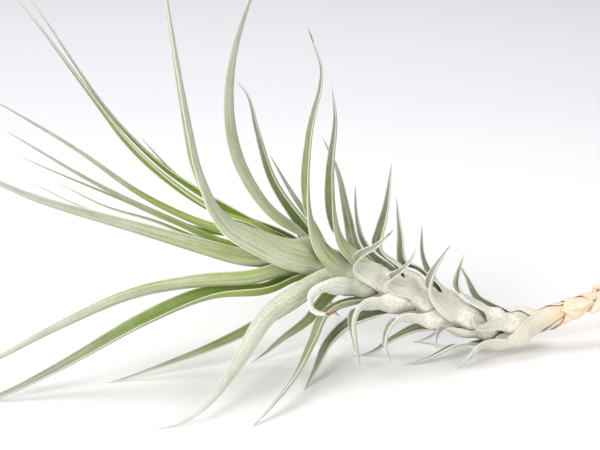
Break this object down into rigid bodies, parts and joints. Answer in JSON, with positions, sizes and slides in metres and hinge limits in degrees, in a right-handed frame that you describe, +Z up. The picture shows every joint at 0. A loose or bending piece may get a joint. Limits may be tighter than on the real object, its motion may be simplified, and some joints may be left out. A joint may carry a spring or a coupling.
{
  "type": "hitchcockiana air plant",
  "caption": "Silvery air plant lying on its side: a dry bent stem, short curled leaves along it and an open rosette of long channelled leaves.",
  "frame": {"origin": "middle of the bottom of the box round the whole plant, on the surface it lies on", "axes": "+X runs from the rosette's leaf tips to the dry end of the stem, +Y away from the viewer, +Z up"},
  "size_m": [0.3532, 0.131, 0.213],
  "materials": {
    "old_leaf": "matte",
    "rosette_leaf": "matte",
    "dry_sheath": "matte",
    "dry_stem": "matte"
  },
  "bodies": {
    "root": {"stem": "dry_stem", "dry_sheath_1": "dry_sheath", "dry_sheath_2": "dry_sheath", "dry_sheath_3": "dry_sheath", "dry_sheath_4": "dry_sheath", "dry_sheath_5": "dry_sheath", "dry_sheath_6": "dry_sheath", "dry_sheath_7": "dry_sheath", "leaf_01_under": "old_leaf", "leaf_02_lower": "old_leaf", "leaf_03_back": "old_leaf", "leaf_04_front": "old_leaf", "leaf_05_under": "old_leaf", "leaf_06_top": "old_leaf", "leaf_07_under": "old_leaf", "leaf_08_back": "old_leaf", "leaf_09_lower": "old_leaf", "leaf_10_front": "old_leaf", "leaf_11_under": "old_leaf", "leaf_12_top": "old_leaf", "leaf_13_lower": "old_leaf", "leaf_14_back": "old_leaf", "leaf_15_front": "old_leaf", "leaf_16_under": "old_leaf", "leaf_17_top": "old_leaf", "leaf_18_lower": "old_leaf", "leaf_19_back": "old_leaf", "leaf_20_front": "old_leaf", "leaf_21_under": "old_leaf", "leaf_22_under": "rosette_leaf", "leaf_23_top": "rosette_leaf", "leaf_24_under": "rosette_leaf", "leaf_25_lower": "rosette_leaf", "leaf_26_under": "rosette_leaf", "leaf_27_front": "rosette_leaf", "leaf_28_back": "rosette_leaf", "leaf_29_lower": "rosette_leaf", "leaf_30_top": "rosette_leaf", "leaf_31_front": "rosette_leaf", "leaf_32_under": "rosette_leaf", "leaf_33_top": "rosette_leaf", "leaf_34_lower": "rosette_leaf", "leaf_35_front": "rosette_leaf", "leaf_36_back": "rosette_leaf", "leaf_37_back": "rosette_leaf", "leaf_38_front": "rosette_leaf", "leaf_39_under": "rosette_leaf", "leaf_40_top": "rosette_leaf", "leaf_41_lower": "rosette_leaf", "leaf_42_back": "rosette_leaf", "leaf_43_front": "rosette_leaf"}
  },
  "joints": []
}
